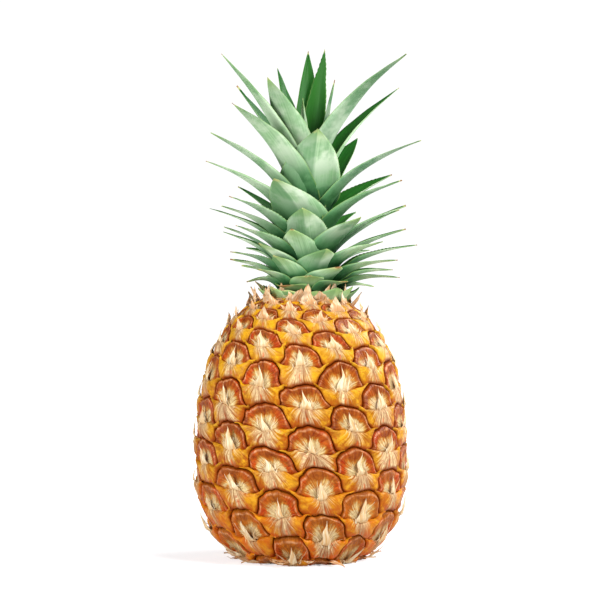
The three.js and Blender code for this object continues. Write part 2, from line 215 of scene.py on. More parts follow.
def make_mesh(name, points, quads, attributes, material):
    """A smooth-shaded mesh with named vector attributes on its points."""
    mesh = bpy.data.meshes.new(name)
    points = np.asarray(points, np.float32).reshape(-1, 3) * MM
    mesh.vertices.add(len(points))
    mesh.vertices.foreach_set("co", points.ravel())
    mesh.loops.add(quads.size)
    mesh.loops.foreach_set("vertex_index", quads.ravel().astype(np.int32))
    mesh.polygons.add(len(quads))
    mesh.polygons.foreach_set("loop_start", np.arange(0, quads.size, 4, dtype=np.int32))
    mesh.materials.append(material)
    mesh.update(calc_edges=True)
    mesh.shade_smooth()
    for label, values in attributes.items():
        layer = mesh.attributes.new(label, "FLOAT_VECTOR", "POINT")
        layer.data.foreach_set("vector", np.asarray(values, np.float32).ravel())
    mesh.validate()
    piece = bpy.data.objects.new(name, mesh)
    bpy.context.collection.objects.link(piece)
    return piece


# Shader helpers


class Shader:
    """Adds nodes to a tree. A socket or a plain value can be given wherever an input is wanted."""

    def __init__(self, tree):
        self.tree = tree

    def node(self, kind, inputs=(), **settings):
        node = self.tree.nodes.new(kind)
        for key, value in settings.items():
            setattr(node, key, value)
        for key, value in dict(inputs).items():
            socket = node.inputs[key]
            if isinstance(value, bpy.types.NodeSocket):
                self.tree.links.new(value, socket)
            else:
                socket.default_value = value
        return node

    def math(self, operation, a, b=0.0, clamp=False):
        node = self.node("ShaderNodeMath", {0: a, 1: b}, operation=operation, use_clamp=clamp)
        return node.outputs[0]

    def between(self, low, high, x):
        inputs = {"Value": x, "From Min": low, "From Max": high}
        return self.node("ShaderNodeMapRange", inputs, interpolation_type="SMOOTHSTEP").outputs[0]

    def scaled(self, x, low, high, from_low=0.0, from_high=1.0):
        inputs = {"Value": x, "From Min": from_low, "From Max": from_high, "To Min": low, "To Max": high}
        return self.node("ShaderNodeMapRange", inputs).outputs[0]

    def blend(self, share, a, b, how="MIX"):
        node = self.node("ShaderNodeMix", data_type="RGBA", blend_type=how)
        for index, value in ((0, share), (6, a), (7, b)):
            if isinstance(value, bpy.types.NodeSocket):
                self.tree.links.new(value, node.inputs[index])
            else:
                node.inputs[index].default_value = value
        return node.outputs[2]

    def vector(self, x, y, z):
        return self.node("ShaderNodeCombineXYZ", {0: x, 1: y, 2: z}).outputs[0]

    def parts(self, vector):
        return self.node("ShaderNodeSeparateXYZ", {0: vector}).outputs[:]

    def attribute(self, name):
        return self.parts(self.node("ShaderNodeAttribute", attribute_name=name).outputs["Vector"])

    def noise(self, vector, scale=1.0, detail=3.0, roughness=0.55):
        inputs = {"Vector": vector, "Scale": scale, "Detail": detail, "Roughness": roughness}
        return self.node("ShaderNodeTexNoise", inputs).outputs[0]

    def bump(self, height, distance, strength=1.0, normal=None):
        inputs = {"Height": height, "Distance": distance, "Strength": strength}
        if normal is not None:
            inputs["Normal"] = normal
        return self.node("ShaderNodeBump", inputs).outputs[0]

    def group(self, tree, **inputs):
        node = self.node("ShaderNodeGroup", node_tree=tree)
        for key, value in inputs.items():
            socket = node.inputs[key.replace("_", " ").capitalize()]
            if isinstance(value, bpy.types.NodeSocket):
                self.tree.links.new(value, socket)
            else:
                socket.default_value = value
        return node.outputs


def paint(red, green, blue):
    """A colour given as it looks on a screen, from 0 to 255."""

    def linear(value):
        value /= 255
        return value / 12.92 if value <= 0.04045 else ((value + 0.055) / 1.055) ** 2.4

    return (linear(red), linear(green), linear(blue), 1.0)


def new_group(name, inputs, outputs):
    tree = bpy.data.node_groups.new(name, "ShaderNodeTree")
    for label, kind, value in inputs:
        socket = tree.interface.new_socket(label, in_out="INPUT", socket_type=kind)
        if value is not None:
            socket.default_value = value
    for label, kind in outputs:
        tree.interface.new_socket(label, in_out="OUTPUT", socket_type=kind)
    shader = Shader(tree)
    return tree, shader, shader.node("NodeGroupInput").outputs, shader.node("NodeGroupOutput").inputs


def fibres_group():
    """Long thin streaks. Across is the place over the streaks in millimetres, Along the place down them."""
    inputs = [
        ("Across", "NodeSocketFloat", 0.0),
        ("Along", "NodeSocketFloat", 0.0),
        ("Seed", "NodeSocketFloat", 0.0),
        ("Fineness", "NodeSocketFloat", 1.0),
        ("Length", "NodeSocketFloat", 8.0),
    ]
    tree, shader, given, result = new_group("fibre streaks", inputs, [("Streaks", "NodeSocketFloat")])
    across = shader.math("MULTIPLY", given["Across"], given["Fineness"])
    along = shader.math("DIVIDE", given["Along"], given["Length"])
    coarse = shader.noise(shader.vector(across, along, given["Seed"]), 1.0, 2.0)
    fine = shader.noise(shader.vector(shader.math("MULTIPLY", across, 2.7), along, given["Seed"]), 1.0, 2.0)
    both = shader.math("ADD", shader.math("MULTIPLY", coarse, 0.6), shader.math("MULTIPLY", fine, 0.4))
    tree.links.new(shader.between(0.33, 0.67, both), result["Streaks"])
    return tree


def mottle_group():
    """Soft patches, for colour that changes from place to place. Spread is the size of a patch in millimetres."""
    inputs = [
        ("Place", "NodeSocketVector", None),
        ("Spread", "NodeSocketFloat", 4.0),
        ("Low", "NodeSocketFloat", 0.35),
        ("High", "NodeSocketFloat", 0.65),
    ]
    tree, shader, given, result = new_group("soft mottling", inputs, [("Patches", "NodeSocketFloat")])
    scale = shader.math("DIVIDE", 1.0, given["Spread"])
    place = shader.node("ShaderNodeVectorMath", {0: given["Place"], "Scale": scale}, operation="SCALE").outputs[0]
    noise = shader.noise(place, 1.0, 3.0)
    spread = shader.node(
        "ShaderNodeMapRange",
        {"Value": noise, "From Min": given["Low"], "From Max": given["High"]},
        interpolation_type="SMOOTHSTEP",
    )
    tree.links.new(spread.outputs[0], result["Patches"])
    return tree


FIBRES = fibres_group()
MOTTLE = mottle_group()


def new_material(name):
    material = bpy.data.materials.new(name)
    material.use_nodes = True
    material.node_tree.nodes.clear()
    shader = Shader(material.node_tree)
    surface = shader.node("ShaderNodeBsdfPrincipled")
    output = shader.node("ShaderNodeOutputMaterial")
    material.node_tree.links.new(surface.outputs[0], output.inputs[0])
    return material, shader, surface


def connect(shader, surface, **inputs):
    for key, value in inputs.items():
        socket = surface.inputs[key.replace("_", " ").title()]
        if isinstance(value, bpy.types.NodeSocket):
            shader.tree.links.new(value, socket)
        else:
            socket.default_value = value


# The rind's materials


def disc_material():
    """The disc of an eye: a wrinkled red-brown rim round two cream, fibrous lobes."""
    material, shader, surface = new_material("eye disc")
    x, y, seed = shader.attribute("eye_place")
    ring, arch, redness = shader.attribute("eye_ring")
    place = shader.vector(x, y, seed)
    down = shader.math("MULTIPLY", ring, 9.0)
    fibres = shader.group(FIBRES, across=arch, along=down, seed=seed, fineness=1.1, length=8.0)[0]
    wrinkles = shader.group(FIBRES, across=arch, along=down, seed=seed, fineness=0.6, length=7.0)[0]
    patches = shader.group(MOTTLE, place=place, spread=4.5)[0]
    small = shader.group(MOTTLE, place=place, spread=1.4)[0]

    side = shader.math("ABSOLUTE", shader.math("ADD", x, shader.scaled(redness, -0.9, 0.9)))
    lobe_x = shader.math("DIVIDE", shader.math("SUBTRACT", side, 3.4), 3.9)
    lobe_y = shader.math("DIVIDE", shader.math("SUBTRACT", y, 1.0), 4.3)
    lobe = shader.math("ADD", shader.math("POWER", lobe_x, 2.0), shader.math("POWER", lobe_y, 2.0))
    lobe = shader.math("ADD", lobe, shader.scaled(fibres, 0.3, -0.3))
    lobe = shader.math("ADD", lobe, shader.scaled(small, 0.25, -0.25))
    lobe = shader.math("ADD", lobe, shader.scaled(patches, 0.45, -0.45))
    cream = shader.blend(fibres, paint(158, 80, 24), paint(244, 206, 120))
    core = shader.math("MULTIPLY", shader.between(0.85, 0.1, lobe), shader.scaled(fibres, 0.45, 0.95))
    cream = shader.blend(core, cream, paint(252, 240, 192))
    cream = shader.blend(shader.math("MULTIPLY", patches, 0.3), cream, paint(222, 186, 88))
    cream = shader.blend(shader.math("MULTIPLY", small, 0.35), cream, paint(150, 82, 34))

    red = shader.math("MULTIPLY", shader.between(0.25, 0.85, redness), shader.between(2.6, 7.5, side))
    red = shader.math("MULTIPLY", red, shader.scaled(patches, 0.95, 0.1))
    rim = shader.blend(patches, paint(184, 80, 4), paint(112, 34, 6))
    lowness, _, darkness = shader.attribute("eye_age")
    rim = shader.blend(shader.math("MULTIPLY", darkness, 0.45), rim, paint(138, 44, 10))
    rim = shader.blend(shader.math("MULTIPLY", lowness, shader.scaled(patches, 0.8, 0.45)), rim, paint(204, 120, 16))
    rim = shader.blend(shader.between(2.2, 0.9, lobe), rim, paint(200, 116, 24))
    rim = shader.blend(shader.math("MULTIPLY", red, 0.85), rim, paint(196, 36, 6))
    # Painted shade: the rim darkens to purple-brown at the disc's top centre.
    top = shader.math("MULTIPLY", shader.between(4.0, 8.5, y), shader.between(5.0, 1.0, side))
    rim = shader.blend(shader.math("MULTIPLY", top, 0.4), rim, paint(106, 36, 22))
    rim = shader.blend(shader.math("MULTIPLY", wrinkles, 0.42), rim, paint(222, 132, 44))
    rim = shader.blend(shader.math("MULTIPLY", small, 0.4), rim, paint(104, 32, 3))

    colour = shader.blend(shader.between(0.3, 1.6, lobe), cream, rim)
    broken = shader.math("MULTIPLY", shader.scaled(wrinkles, 0.1, 1.0), shader.scaled(patches, 0.85, 0.15))
    glint = shader.math("MULTIPLY", shader.between(0.84, 0.89, ring), shader.between(0.935, 0.9, ring))
    colour = shader.blend(shader.math("MULTIPLY", glint, broken), colour, paint(232, 176, 130))
    # Painted shade of the groove: the disc darkens to deep brown towards its edge.
    colour = shader.blend(shader.between(0.925, 0.99, ring), colour, shader.blend(lowness, paint(120, 46, 5), paint(150, 80, 12)))
    colour = shader.blend(shader.between(0.985, 1.0, ring), colour, shader.blend(lowness, paint(100, 36, 5), paint(120, 58, 8)))
    # Painted shadow of the beak: darkest low in the middle of the disc.
    painted_beak_shadow = shader.math("MULTIPLY", shader.between(3.0, 0.4, side), shader.between(4.0, -2.0, y))
    colour = shader.blend(shader.math("MULTIPLY", painted_beak_shadow, 0.8), colour, paint(84, 36, 12))

    relief = shader.math("MULTIPLY", wrinkles, shader.between(0.8, 1.3, lobe))
    relief = shader.math("ADD", relief, shader.math("MULTIPLY", fibres, 0.6))
    connect(
        shader,
        surface,
        base_color=colour,
        roughness=shader.scaled(wrinkles, 0.26, 0.42),
        normal=shader.bump(relief, 0.00028, 0.9),
    )
    surface.inputs["Specular IOR Level"].default_value = 0.12
    return material


def bract_material():
    """The bract below a disc: yellow wings, orange corners and dry pale streaks that run out from its middle."""
    material, shader, surface = new_material("bract")
    x, y, seed = shader.attribute("eye_place")
    band, sector, dryness = shader.attribute("bract_place")
    place = shader.vector(x, y, seed)
    down = shader.math("MULTIPLY", band, 9.0)
    streaks = shader.group(FIBRES, across=sector, along=down, seed=seed, fineness=0.9, length=12.0)[0]
    patches = shader.group(MOTTLE, place=place, spread=4.5)[0]
    small = shader.group(MOTTLE, place=place, spread=1.3)[0]

    side = shader.math("ABSOLUTE", x)
    wings = shader.blend(patches, paint(220, 148, 4), paint(172, 98, 2))
    wings = shader.blend(shader.math("MULTIPLY", streaks, 0.45), wings, paint(248, 204, 66))
    low = shader.between(0.3, 0.95, shader.math("ADD", band, shader.scaled(patches, -0.25, 0.2)))
    wings = shader.blend(shader.math("MULTIPLY", low, 0.9), wings, paint(170, 72, 4))
    blotch = shader.math("MULTIPLY", small, shader.scaled(streaks, 0.5, 0.1))
    wings = shader.blend(blotch, wings, paint(142, 68, 8))
    lowness, highness = shader.attribute("eye_age")[:2]
    wings = shader.blend(shader.math("MULTIPLY", highness, 0.3), wings, paint(246, 196, 40))
    orange = shader.math("MULTIPLY", lowness, shader.scaled(patches, 0.35, 0.8))
    wings = shader.blend(orange, wings, paint(212, 94, 6))

    papery = shader.blend(streaks, paint(146, 72, 26), paint(252, 226, 170))
    papery = shader.blend(shader.math("MULTIPLY", small, 0.3), papery, paint(160, 96, 70))
    reach = shader.math("ADD", side, shader.scaled(streaks, 1.9, -1.9))
    reach = shader.math("ADD", reach, shader.scaled(dryness, 2.6, -3.0))
    reach = shader.math("ADD", reach, shader.math("MULTIPLY", band, 3.2))
    dry = shader.between(8.6, 2.8, reach)
    colour = shader.blend(dry, wings, papery)
    slit = shader.math("ABSOLUTE", shader.math("ADD", x, shader.scaled(dryness, -1.2, 1.2)))
    slit = shader.math("MULTIPLY", shader.between(0.75, 0.2, slit), shader.between(0.42, 0.6, band))
    slit = shader.math("MULTIPLY", slit, shader.between(0.9, 0.78, band))
    flecks = shader.math("MULTIPLY", shader.between(0.72, 0.95, small), shader.between(0.6, 0.95, streaks))
    colour = shader.blend(shader.math("MULTIPLY", flecks, 0.55), colour, paint(196, 58, 10))
    colour = shader.blend(shader.math("MULTIPLY", slit, 0.7), colour, paint(214, 92, 26))
    # Painted shade of the groove: the bract darkens to brown towards its hem, and to deep brown at the hem itself.
    colour = shader.blend(shader.between(0.72, 0.98, band), colour, paint(146, 62, 6))
    colour = shader.blend(shader.between(0.965, 1.0, band), colour, paint(100, 38, 5))

    relief = shader.math("MULTIPLY", streaks, shader.scaled(dry, 0.35, 1.0))
    connect(
        shader,
        surface,
        base_color=colour,
        roughness=shader.scaled(dry, 0.36, 0.62),
        normal=shader.bump(relief, 0.00026, 0.9),
    )
    surface.inputs["Specular IOR Level"].default_value = 0.12
    return material


def beak_material():
    """The dry, papery beak that rises from each bract."""
    material, shader, surface = new_material("dry beak")
    across, along, seed = shader.attribute("beak_place")
    share, straw = shader.attribute("beak_age")[:2]
    streaks = shader.group(FIBRES, across=across, along=along, seed=seed, fineness=1.5, length=9.0)[0]
    patches = shader.group(MOTTLE, place=shader.vector(across, along, seed), spread=2.6)[0]
    pink = shader.blend(streaks, paint(220, 170, 102), paint(255, 246, 212))
    yellow = shader.blend(streaks, paint(222, 158, 92), paint(255, 240, 204))
    colour = shader.blend(straw, pink, yellow)
    colour = shader.blend(shader.math("MULTIPLY", patches, 0.18), colour, paint(190, 130, 76))
    tip = shader.between(0.84, 1.0, share)
    colour = shader.blend(shader.math("MULTIPLY", tip, 0.4), colour, paint(160, 108, 76))
    foot = shader.between(0.4, 0.0, share)
    red_foot = shader.blend(straw, paint(232, 184, 116), paint(212, 136, 56))
    colour = shader.blend(shader.math("MULTIPLY", foot, 0.6), colour, red_foot)
    connect(
        shader,
        surface,
        base_color=colour,
        roughness=0.6,
        normal=shader.bump(streaks, 0.0002, 0.8),
    )
    surface.inputs["Specular IOR Level"].default_value = 0.3
    return material


def scar_material():
    """The cut end of the stalk: pale, fibrous, brown at its rim."""
    material, shader, surface = new_material("stalk scar")
    radius, turn, seed = shader.attribute("scar_place")
    rays = shader.group(FIBRES, across=turn, along=radius, seed=seed, fineness=1.2, length=6.0)[0]
    colour = shader.blend(rays, paint(190, 150, 96), paint(232, 208, 156))
    colour = shader.blend(shader.between(8.0, 12.0, radius), colour, paint(112, 66, 34))
    connect(shader, surface, base_color=colour, roughness=0.8, normal=shader.bump(rays, 0.0004, 0.6))
    return material


# The rind

DISC_RINGS = np.array([0, 0.12, 0.26, 0.4, 0.52, 0.62, 0.7, 0.77, 0.83, 0.88, 0.92, 0.955, 0.98, 1.0])
DISC_PROFILE = (
    [0, 0.25, 0.5, 0.66, 0.8, 0.88, 0.94, 0.975, 1.0],
    [1.0, 0.45, 0.1, 0.5, 1.15, 1.3, 1.2, 0.6, -0.6],
)
BRACT_ROWS = np.array([0, 0.03, 0.08, 0.16, 0.28, 0.42, 0.56, 0.68, 0.78, 0.86, 0.92, 0.965, 1.0])
BRACT_PROFILE = (
    [0, 0.03, 0.08, 0.28, 0.56, 0.78, 0.87, 0.93, 0.97, 1.0],
    [-0.6, 1.7, 2.0, 2.3, 1.9, 1.4, 1.1, 0.75, 0.35, -0.6],
)
HORN_REACH = (2.2, 1.7)
THREADS = 4
STEM_SIDE, STEM_FOOT, STEM_HEIGHT = 3.5, 137.5, 54.0
STEM_FOOT_RADIUS, STEM_TOP_RADIUS = 13.5, 3.4
SCAR_RADIUS = 13.0


def foot_room(points):
    """Flattens what reaches below the floor, and lifts it a little over the stalk's scar."""
    near = np.hypot(points[..., 0], points[..., 1]) < SCAR_RADIUS + 1.5
    points[..., 2] = np.maximum(points[..., 2], np.where(near, 1.2, 0.0))
    return points


def make_discs(material):
    arch = disc_arch(16)
    count = len(arch)
    ring = DISC_RINGS[:, None]
    q = np.linspace(0, 1, count)[None, :]
    lattice = HEART + (arch[None] - HEART) * ring[..., None]
    number = EYES[:, None, None]
    seed = EYE_SEED[:, None, None]
    draws = EYE_DRAWS[:, :, None, None]
    arch_mm = q * 38.0
    relief = np.interp(ring, *DISC_PROFILE) * (0.85 + 0.3 * draws[:, 0])
    wrinkle = lumps(arch_mm / 2.1 + seed * 3, ring * 2.0 + 0 * q, seed) * 0.6
    wrinkle = wrinkle + lumps(arch_mm / 1.1 + seed * 5, ring * 1.5 + 0 * q, seed + 9) * 0.4
    relief = relief + 0.5 * wrinkle * smooth(0.4, 0.8, ring) * smooth(1.0, 0.93, ring)
    relief = relief + 0.25 * lumps(lattice[None, ..., 0] / 4 + seed, lattice[None, ..., 1] / 3, seed)
    tuck = smooth(0.0, 0.07, np.minimum(q, 1 - q))
    relief = np.where(relief > -0.4, mix(-0.4, relief, tuck), relief)
    relief = np.broadcast_to(relief, (len(EYES),) + lattice.shape[:2])
    angle = -48.0 * number + lattice[None, ..., 0]
    step = number + lattice[None, ..., 1]
    points = foot_room(skin_place(angle, step, relief))
    shape = points.shape[:3]
    redness = np.clip(0.85 * draws[:, 1] + 0.35 * smooth(66, 8, station("height", number)), 0, 1)
    place = np.stack(
        [
            np.broadcast_to(lattice[None, ..., 0] * DEGREE_MM, shape),
            np.broadcast_to(lattice[None, ..., 1] * STEP_MM, shape),
            np.broadcast_to(seed, shape),
        ],
        axis=-1,
    )
    rings = np.stack(
        [
            np.broadcast_to(ring, shape),
            np.broadcast_to(arch_mm, shape),
            np.broadcast_to(redness, shape),
        ],
        axis=-1,
    )
    per_eye = len(DISC_RINGS) * count
    quads = np.concatenate([grid_faces(len(DISC_RINGS), count, per_eye * k) for k in range(len(EYES))])
    attributes = {"eye_place": place, "eye_ring": rings, "eye_age": eye_ages(shape)}
    return make_mesh("eye_discs", points, quads[:, ::-1], attributes, material)


def make_bracts(material):
    hem = bract_hem(12)
    count = len(hem)
    s = np.linspace(-1, 1, count)
    lip = HEART + np.where(
        s[:, None] < 0,
        (np.array(LEFT_HORN) - HEART) * -s[:, None],
        (np.array(RIGHT_HORN) - HEART) * s[:, None],
    )
    number = EYES[:, None, None]
    seed = EYE_SEED[:, None, None]
    draws = EYE_DRAWS[:, :, None, None]
    v = BRACT_ROWS[:, None]
    lift = 0.45 * (1 - s**4) + 0.25 * lumps(s * 5 + 10, seed[..., 0], seed[..., 0]) * (1 - s**2)
    lattice = np.empty((len(EYES), len(v), count, 2))
    lattice[..., 0] = mix(lip[:, 0], hem[:, 0], v)
    lattice[..., 1] = mix(lip[:, 1] + lift[:, None, :], hem[:, 1], v)
    horn = smooth(0.7, 1.0, np.abs(s)) * (1 - v) ** 1.5
    lattice[..., 0] += np.sign(s) * HORN_REACH[0] * horn * (0.6 + 0.8 * draws[:, 4])
    lattice[..., 1] += HORN_REACH[1] * horn * (0.6 + 0.8 * draws[:, 5])
    x_mm = lattice[..., 0] * DEGREE_MM
    y_mm = lattice[..., 1] * STEP_MM
    sector = np.arctan2(x_mm, -(y_mm - 1.5)) * 9.0
    relief = np.interp(v, *BRACT_PROFILE) * (0.88 + 0.24 * draws[:, 2])
    full = np.maximum(smooth(0, 0.17, 1 - np.abs(s)), 0.95 * horn)
    middle = smooth(8.5, 2.0, np.abs(x_mm))
    relief = relief + 0.45 * (middle - 0.4) * smooth(0, 0.1, v) * smooth(1.0, 0.8, v)
    creases = lumps(sector / 1.3 + seed, v * 1.6 + 0 * s, seed + 3)
    relief = relief + 0.42 * creases * smooth(0.03, 0.2, v) * smooth(1.0, 0.85, v) * (0.5 + 0.5 * middle)
    relief = mix(-0.6, relief + 0.5 * horn, np.where(relief > -0.6, full, 1.0))
    angle = -48.0 * number + lattice[..., 0]
    points = foot_room(skin_place(angle, number + lattice[..., 1], relief))
    shape = points.shape[:3]
    place = np.stack([x_mm, y_mm, np.broadcast_to(seed, shape)], axis=-1)
    dryness = draws[:, 3] * mix(1.0, 0.55, smooth(66, 8, station("height", number)))
    bract = np.stack([np.broadcast_to(v, shape), sector, np.broadcast_to(dryness, shape)], axis=-1)
    attributes = {"eye_place": place, "bract_place": bract, "eye_age": eye_ages(shape)}
    per_eye = len(BRACT_ROWS) * count
    quads = np.concatenate([grid_faces(len(BRACT_ROWS), count, per_eye * k) for k in range(len(EYES))])
    return make_mesh("eye_bracts", points, quads, attributes, material)


def beak_shapes():
    """For each eye its beak, then its threads: eye, place across, start, length, width, lean, rise and seed."""
    shapes = []
    for k, number in enumerate(EYES):
        draws = EYE_DRAWS[k]
        height = float(station("height", number))
        crown = float(smooth(112.0, 126.0, height))
        low = float(smooth(22.0, 4.0, height))
        length = mix(12.5, 9.0, draws[4] ** 2) * mix(1.0, 1.05, crown)
        width = 3.9 * mix(0.75, 1.2, draws[5])
        rise = mix(-0.4, 2.4, draws[7] ** 3) + crown * mix(3.0, 6.5, draws[5]) + 1.5 * low
        lean = mix(-2.4, 2.4, draws[6]) * mix(1.0, 1.7, crown)
        shapes.append((k, 0.0, -3.6, length, width, lean, rise, EYE_SEED[k]))
        threads = np.random.default_rng(900 + k).uniform(0, 1, (THREADS, 6))
        for n, (a, b, c, d, e, f) in enumerate(threads):
            hand = 1 if n % 2 else -1
            beside, start, length = hand * mix(0.6, 3.6, b), mix(-5.0, -1.0, a), mix(3.5, 8.5, c)
            width, lean, rise = mix(0.35, 0.9, d), hand * mix(-1.0, 5.0, e), mix(0.0, 1.6, f)
            shapes.append((k, beside, start, length, width, lean, rise, EYE_SEED[k] + 3.1 * (n + 1)))
    return shapes


def make_beaks(material):
    points, places, ages, quads = [], [], [], []
    total = 0
    for k, start_x, start_y, length, width, lean, rise, seed in beak_shapes():
        rows, columns = (15, 7) if start_x == 0 else (10, 3)
        t = np.linspace(0, 1, rows)[:, None]
        u = np.linspace(-1, 1, columns)[None, :]
        number = EYES[k]
        crown = float(smooth(112.0, 126.0, station("height", number)))
        half = width * (1 - t) ** mix(1.25, 0.9, crown) * (1 + 0.2 * lumps(t * 5, np.sign(u) * 2 + 0 * t, seed))
        half = np.maximum(half, 0.05)
        path_up = start_y + length * mix(t, t * (1 - 0.35 * t), crown)
        rooted = smooth(0, 0.3, t)
        over = 0.2 + 1.5 * rooted + 0.5 * np.sin(math.pi * np.clip(t, 0, 1)) + rise * t**2.2
        keel = 0.42 * half * (1 - np.abs(u) ** 1.5) * rooted
        across = start_x + half * u + lean * t**2 + 0.5 * lumps(t * 3, t * 0, seed + 5)
        x = across / DEGREE_MM / (float(station("radius", number)) / RADIUS)
        scale = min(1.15, float(station("pitch", number)) / PITCH)
        step = number + path_up / STEP_MM + 0 * u
        for face in (1, -1):
            raised = over + keel + 0.14 * face * (1 - 0.6 * u**2)
            made = foot_room(skin_place(-48.0 * number + x, step, 0.0 * raised, raised * mix(scale, 1.0, crown)))
            faces = grid_faces(rows, columns, total)
            total += rows * columns
            points.append(made.reshape(-1, 3))
            quads.append(faces if face == 1 else faces[:, ::-1])
            places.append(np.stack([half * u, length * t + 0 * u, np.full_like(half * u, seed)], axis=-1).reshape(-1, 3))
            ages.append(np.stack([t + 0 * u, np.full_like(half * u, crown), 0 * half * u], axis=-1).reshape(-1, 3))
    attributes = {"beak_place": np.concatenate(places), "beak_age": np.concatenate(ages)}
    return make_mesh("eye_beaks", np.concatenate(points), np.concatenate(quads), attributes, material)


def scrap_list():
    """Anchor, pointing direction, width, length and curl of each papery scrap."""
    draws = np.random.default_rng(23).uniform(0, 1, (64, 6))
    scraps = []
    for k, turn in enumerate(np.linspace(0, 360, 17, endpoint=False)):
        a, b, c, d, e, f = draws[k]
        radius = mix(17.0, 23.5, a)
        foot = (turn + 8 * b, radius + 1.0, 130.0 + 0.45 * (23.5 - radius))
        scraps.append((foot, mix(8, 52, c), mix(-25, 25, b), mix(8.0, 12.0, d), mix(10.0, 14.5, e), mix(-0.35, 0.2, f)))
    for k, turn in enumerate(np.linspace(0, 360, 26, endpoint=False)):
        a, b, c, d, e, f = draws[20 + k]
        radius = mix(27.0, 39.5, a)
        foot = (turn + 10 * b, radius, 0.4 + max(0.0, radius - 31.0) * 0.45)
        scraps.append((foot, mix(66, 94, c), mix(-50, 50, b), mix(5.0, 10.0, d), mix(6.0, 11.5, e), mix(-0.3, 0.1, f)))
    return scraps


def make_scraps(material):
    """Dry flakes: those round the crown's foot stand up, and those at the base lie out over the floor."""
    rows, columns = 14, 7
    t = np.linspace(0, 1, rows)[:, None]
    u = np.linspace(-1, 1, columns)[None, :]
    points, places, ages, quads = [], [], [], []
    for number, (foot, lean, swing, width, length, curl) in enumerate(scrap_list()):
        seed = 7.0 + 2.3 * number
        turn, lean, swing = math.radians(foot[0]), math.radians(lean), math.radians(swing)
        out = np.array([math.sin(turn), -math.cos(turn), 0.0])
        side = np.array([math.cos(turn), math.sin(turn), 0.0])
        root = out * foot[1] + np.array([0, 0, foot[2]])
        up = np.array([0, 0, 1.0])
        way = math.cos(lean) * up + math.sin(lean) * out
        back = math.sin(lean) * up - math.cos(lean) * out
        across = math.cos(swing) * side - math.sin(swing) * way
        way = math.cos(swing) * way + math.sin(swing) * side
        half = width / 2 * (1 - t) ** 0.75 * (1 + 0.3 * lumps(t * 5, 3 * np.sign(u) + 0 * t, seed))
        half = np.maximum(half, 0.05)
        cupped = 0.3 * half * (1 - np.abs(u) ** 1.6) + 0.5 * lumps(t * 3 + 0 * u, u * 1.5, seed + 2)
        drift = 1.2 * lumps(t * 2.5, 0 * t, seed + 4) * t
        for face in (1, -1):
            raised = curl * length * t**2 - cupped + 0.11 * face * (1 - 0.6 * u**2)
            made = root + way * (length * t + 0 * u)[..., None] + across * (half * u + drift)[..., None]
            made = made + back * raised[..., None]
            made[..., 0] += STEM_SIDE * float(smooth(128.0, 140.0, foot[2]))
            made[..., 2] = np.maximum(made[..., 2], 0.15 + 0.1 * face)
            faces = grid_faces(rows, columns, len(points) * rows * columns)
            points.append(made.reshape(-1, 3))
            quads.append(faces if face == 1 else faces[:, ::-1])
            places.append(np.stack([half * u, length * t + 0 * u, np.full_like(half * u, seed)], axis=-1).reshape(-1, 3))
            ages.append(np.stack([t + 0 * u, np.ones_like(half * u), 0 * half * u], axis=-1).reshape(-1, 3))
    attributes = {"beak_place": np.concatenate(places), "beak_age": np.concatenate(ages)}
    return make_mesh("papery_scraps", np.concatenate(points), np.concatenate(quads), attributes, material)


def make_scar(material):
    rings = np.array([0.0, 3.0, 6.0, 9.0, 11.5, SCAR_RADIUS, SCAR_RADIUS])
    heights = np.array([1.0, 0.7, 0.5, 0.3, 0.0, 0.3, 2.0])
    sides = 48
    turn = np.linspace(0, 2 * math.pi, sides, endpoint=False)
    ragged = 1 + 0.05 * lumps(turn * 3, 0 * turn, 4.0)
    radius = rings[:, None] * ragged
    height = heights[:, None] + 0.2 * lumps(radius, 3 * turn[None, :], 8.0) * (rings[:, None] < 11)
    points = np.stack([radius * np.sin(turn), -radius * np.cos(turn), np.maximum(height, 0) + 0 * turn], axis=-1)
    place = np.stack([radius, np.broadcast_to(turn * 6, radius.shape), 0 * radius], axis=-1)
    quads = grid_faces(len(rings), sides, closed=True)
    return make_mesh("stalk_scar", points, quads[:, ::-1], {"scar_place": place}, material)


# The crown

LEAF_GAP, BASE_THICKNESS, TIP_THICKNESS = 0.35, 1.5, 0.6

